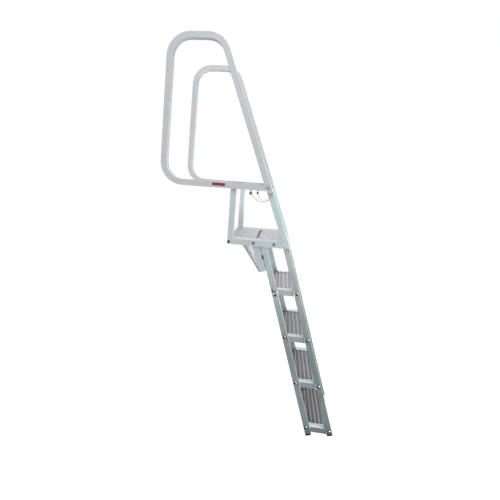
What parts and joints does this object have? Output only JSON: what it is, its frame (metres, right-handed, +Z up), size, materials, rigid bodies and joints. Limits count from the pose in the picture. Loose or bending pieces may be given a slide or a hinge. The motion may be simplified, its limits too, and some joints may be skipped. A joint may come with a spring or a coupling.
{
  "type": "dock ladder",
  "caption": "Aluminium dock ladder with two closed handrail loops, a flip-up frame with a small platform and a sloping stepped ladder below.",
  "frame": {"origin": "underside of the near (left) handrail loop's deck leg, on the tube's centre line, at the dock edge line where the posts' dock-side faces lie", "axes": "+X out over the water, +Y from the left loop to the right loop (seen from the water), +Z up from the deck"},
  "size_m": [1.2401, 0.624, 2.5474],
  "materials": {
    "loop_tube": "satin",
    "frame_tube": "satin",
    "ladder_tube": "satin",
    "tread_extrusion": "ribbed extrusion",
    "steel_fixings": "stainless",
    "lanyard_wire": "twisted wire",
    "black_caps": "moulded"
  },
  "bodies": {
    "handrails": {"left_handrail_loop": "loop_tube", "left_pivot_bolt": "steel_fixings", "left_lock_pin": "steel_fixings", "left_lanyard_eye": "steel_fixings", "left_lanyard": "lanyard_wire", "right_handrail_loop": "loop_tube", "right_pivot_bolt": "steel_fixings", "right_lock_pin": "steel_fixings", "right_lanyard_eye": "steel_fixings", "right_lanyard": "lanyard_wire"},
    "swing_ladder": {"left_post": "frame_tube", "left_post_cap": "black_caps", "left_platform_rail": "frame_tube", "left_strut": "frame_tube", "left_top_tube": "ladder_tube", "left_outer_stringer": "ladder_tube", "left_inner_stringer": "ladder_tube", "left_outer_foot_cap": "black_caps", "left_inner_foot_cap": "black_caps", "left_bracket_leg": "frame_tube", "left_rungs": "ladder_tube", "right_post": "frame_tube", "right_post_cap": "black_caps", "right_platform_rail": "frame_tube", "right_strut": "frame_tube", "right_top_tube": "ladder_tube", "right_outer_stringer": "ladder_tube", "right_inner_stringer": "ladder_tube", "right_outer_foot_cap": "black_caps", "right_inner_foot_cap": "black_caps", "right_bracket_leg": "frame_tube", "right_rungs": "ladder_tube", "step_1": "tread_extrusion", "step_2": "tread_extrusion", "step_3": "tread_extrusion", "step_4": "tread_extrusion", "dockside_tread": "tread_extrusion", "waterside_tread": "tread_extrusion", "bracket_board": "tread_extrusion"}
  },
  "joints": [
    {"name": "ladder_swing", "type": "hinge", "parent": "handrails", "child": "swing_ladder", "pos_m": [0.24101, 0.286, 0.019], "axis": [0, -1, 0], "range_deg": [0, 150]}
  ]
}
